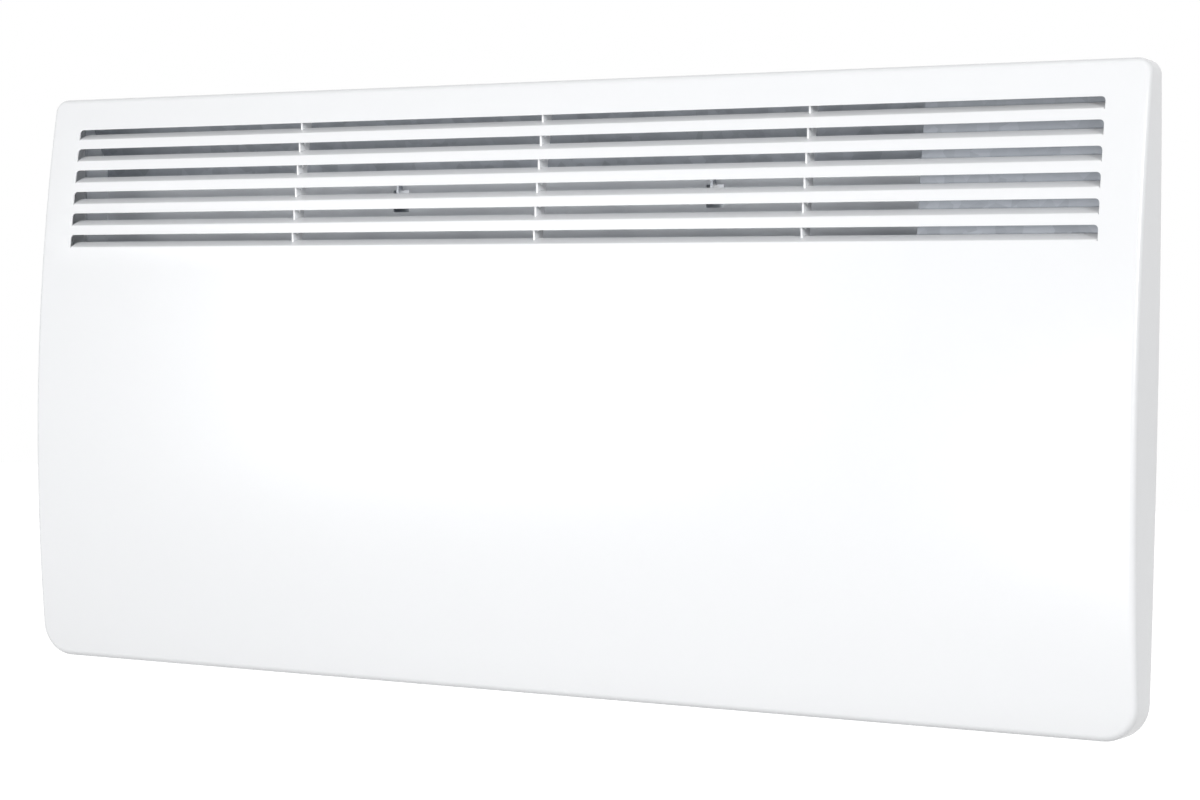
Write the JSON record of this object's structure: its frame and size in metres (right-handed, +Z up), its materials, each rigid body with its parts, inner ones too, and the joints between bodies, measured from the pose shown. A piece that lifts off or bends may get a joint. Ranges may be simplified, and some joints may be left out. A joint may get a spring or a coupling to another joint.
{
  "type": "wall panel convector heater",
  "caption": "Wall-hung panel convector heater: bowed white steel front with lanced louvres, rear casing, finned element and recessed top controls, lifting off a steel wall bracket.",
  "frame": {"origin": "on the wall bracket's back face, in the middle of the heater's width, level with the seat of the two hooks", "axes": "+X to the right as seen from the room, +Y into the wall, +Z up; the louvred front faces -Y"},
  "size_m": [0.903, 0.0798, 0.44],
  "materials": {
    "white_enamel": "glossy white powder coat",
    "casing_enamel": "white powder coat",
    "zinc_steel": "zinc-plated sheet steel",
    "galvanised_steel": "dull hot-dip galvanised sheet steel",
    "bright_aluminium": "mill-finish aluminium",
    "sheath_steel": "heat-darkened steel sheath",
    "steatite": "unglazed white ceramic",
    "white_plastic": "satin white moulding",
    "grey_plastic": "fine-textured grey moulding",
    "black_plastic": "black thermoset moulding",
    "red_lens": "clear red lens",
    "brass": "bright brass",
    "copper": "bright copper",
    "lead_sleeve": "silicone-coated glass sleeving"
  },
  "bodies": {
    "wall_bracket": {"wall_bracket": "zinc_steel"},
    "heater": {"front_panel": "white_enamel", "louvre_stiffener_1": "white_enamel", "louvre_stiffener_2": "white_enamel", "louvre_stiffener_3": "white_enamel", "rear_casing": "casing_enamel", "wall_spacer_1": "white_plastic", "wall_spacer_2": "white_plastic", "air_deflector": "galvanised_steel", "heat_shield": "bright_aluminium", "heating_element": "bright_aluminium", "element_core": "sheath_steel", "element_bush_left": "steatite", "element_bush_right": "steatite", "element_bracket_left": "galvanised_steel", "element_bracket_right": "galvanised_steel", "control_partition": "galvanised_steel", "control_well": "grey_plastic", "thermostat_body": "black_plastic", "thermostat_nut": "brass", "switch_body": "black_plastic", "pilot_lens": "red_lens", "overheat_cutout": "black_plastic", "terminal_block": "steatite", "cable_gland": "grey_plastic", "cable_gland_nut": "grey_plastic", "sensor_capillary": "copper", "sensor_clip": "zinc_steel", "lead_supply": "lead_sleeve", "lead_switched": "lead_sleeve", "lead_thermostat": "lead_sleeve", "lead_element": "lead_sleeve", "lead_neutral": "lead_sleeve", "cover_screw_1": "zinc_steel", "cover_screw_2": "zinc_steel", "cover_screw_3": "zinc_steel", "cover_screw_4": "zinc_steel", "cover_screw_5": "zinc_steel", "cover_screw_6": "zinc_steel", "cover_screw_7": "zinc_steel", "cover_screw_8": "zinc_steel", "bracket_screw_1": "zinc_steel", "bracket_screw_2": "zinc_steel", "bracket_screw_3": "zinc_steel", "bracket_screw_4": "zinc_steel"},
    "thermostat_dial": {"thermostat_knob": "white_plastic", "thermostat_spindle": "zinc_steel"},
    "rocker": {"switch_rocker": "white_plastic"}
  },
  "joints": [
    {"name": "heater_lift", "type": "slide", "parent": "wall_bracket", "child": "heater", "axis": [0, 0, 1], "range_m": [0, 0.011]},
    {"name": "thermostat_turn", "type": "hinge", "parent": "heater", "child": "thermostat_dial", "pos_m": [0.35, -0.034, 0.053], "axis": [0, 0, 1], "range_deg": [-270, 0]},
    {"name": "rocker_tilt", "type": "hinge", "parent": "heater", "child": "rocker", "pos_m": [0.401, -0.034, 0.0525], "axis": [0, 1, 0], "range_deg": [0, 16]}
  ]
}
